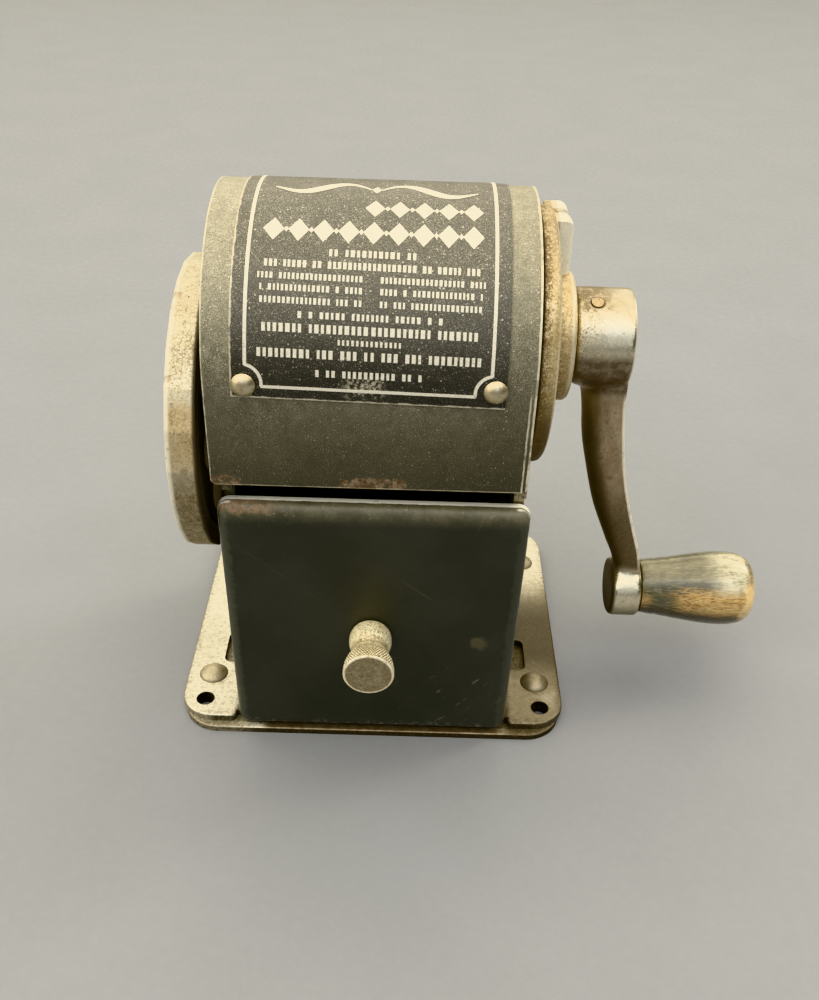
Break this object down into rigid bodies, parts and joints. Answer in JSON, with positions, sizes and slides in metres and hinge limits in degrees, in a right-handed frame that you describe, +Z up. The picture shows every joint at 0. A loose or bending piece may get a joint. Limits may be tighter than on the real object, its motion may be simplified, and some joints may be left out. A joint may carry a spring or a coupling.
{
  "type": "crank pencil sharpener",
  "caption": "Hand-cranked pencil sharpener: round-topped enamel casing on a flanged base, turning size dial, geared twin-cutter head, crank with wooden grip and a front shavings drawer.",
  "frame": {"origin": "centre of the four base screw holes, on the underside of the base", "axes": "+Z up from the base, +X along the crank axis from the pencil side to the crank side, -Y the way the drawer pulls out"},
  "size_m": [0.1304, 0.0881, 0.115],
  "materials": {
    "cover_enamel": "worn semi-gloss olive-black baked enamel on sheet steel",
    "drawer_enamel": "worn semi-gloss olive-black baked enamel on pressed steel, bright rubbed edges",
    "drawer_steel": "plain sheet steel, graphite dust",
    "foot_nickel": "tarnished nickel plate on pressed steel",
    "base_steel": "tarnished nickel plate on sheet steel",
    "rivet_nickel": "tarnished steel",
    "dial_nickel": "pitted nickel plate with fine rust",
    "bell_nickel": "pitted nickel plate with brown rust",
    "crank_nickel": "nickel plate, brown tarnish",
    "steel_parts": "plain turned steel",
    "screw_steel": "darkened steel",
    "spring_steel": "blued spring steel",
    "cutter_steel": "hardened tool steel",
    "gear_iron": "plain cast iron, graphite dust",
    "bush_brass": "plain bronze",
    "knob_brass": "pitted nickel plate on knurled brass",
    "plate_black": "black printed plate with silver rule lines, speckled wear",
    "plate_pins": "plated drive pins",
    "grip_wood": "worn dark green-grey paint on turned hardwood, bare at the wear places"
  },
  "bodies": {
    "frame": {"base_plate": "base_steel", "left_side_frame": "foot_nickel", "right_side_frame": "foot_nickel", "foot_rivets": "rivet_nickel", "frame_tie_rods": "rivet_nickel", "top_cover": "cover_enamel", "cover_screws": "screw_steel", "name_plate": "plate_black", "name_plate_pins": "plate_pins", "dial_pivot_screw": "steel_parts", "dial_pivot_nut": "steel_parts", "dial_washer": "steel_parts", "dial_detent_spring": "spring_steel", "detent_screw": "steel_parts", "pencil_guide": "gear_iron", "end_bell": "bell_nickel", "end_bell_screws": "steel_parts", "bearing_bush": "bush_brass", "ring_gear": "gear_iron"},
    "crank": {"crank_arm": "crank_nickel", "crank_shaft": "steel_parts", "crank_pin": "steel_parts", "thrust_washer": "steel_parts", "cutter_carrier": "gear_iron", "cutter_axles": "steel_parts", "axle_lock_screws": "steel_parts", "grip_spindle": "steel_parts"},
    "cutter_a": {"cutter_a": "cutter_steel", "pinion_a": "cutter_steel"},
    "cutter_b": {"cutter_b": "cutter_steel", "pinion_b": "cutter_steel"},
    "grip": {"wood_grip": "grip_wood"},
    "dial": {"size_dial": "dial_nickel"},
    "drawer": {"drawer_front": "drawer_enamel", "drawer_tray": "drawer_steel", "drawer_knob": "knob_brass", "drawer_knob_nut": "steel_parts"}
  },
  "joints": [
    {"name": "crank_turn", "type": "hinge", "parent": "frame", "child": "crank", "pos_m": [0.0335, -0.00955, 0.0861], "axis": [1, 0, 0], "continuous": true},
    {"name": "cutter_a_spin", "type": "hinge", "parent": "crank", "child": "cutter_a", "pos_m": [0, -0.00955, 0.09709], "axis": [0.9833, 0, -0.1822], "continuous": true},
    {"name": "cutter_b_spin", "type": "hinge", "parent": "crank", "child": "cutter_b", "pos_m": [0, -0.00955, 0.07512], "axis": [0.9833, 0, 0.1822], "continuous": true},
    {"name": "grip_spin", "type": "hinge", "parent": "crank", "child": "grip", "pos_m": [0.075, -0.00955, 0.0226], "axis": [1, 0, 0], "continuous": true},
    {"name": "dial_turn", "type": "hinge", "parent": "frame", "child": "dial", "pos_m": [-0.0356, -0.00955, 0.0688], "axis": [1, 0, 0], "continuous": true},
    {"name": "drawer_slide", "type": "slide", "parent": "frame", "child": "drawer", "axis": [0, -1, 0], "range_m": [0, 0.045]}
  ],
  "couplings": [
    {"joint": "cutter_a_spin", "follows": "crank_turn", "ratio": -2.25},
    {"joint": "cutter_b_spin", "follows": "crank_turn", "ratio": -2.25}
  ]
}
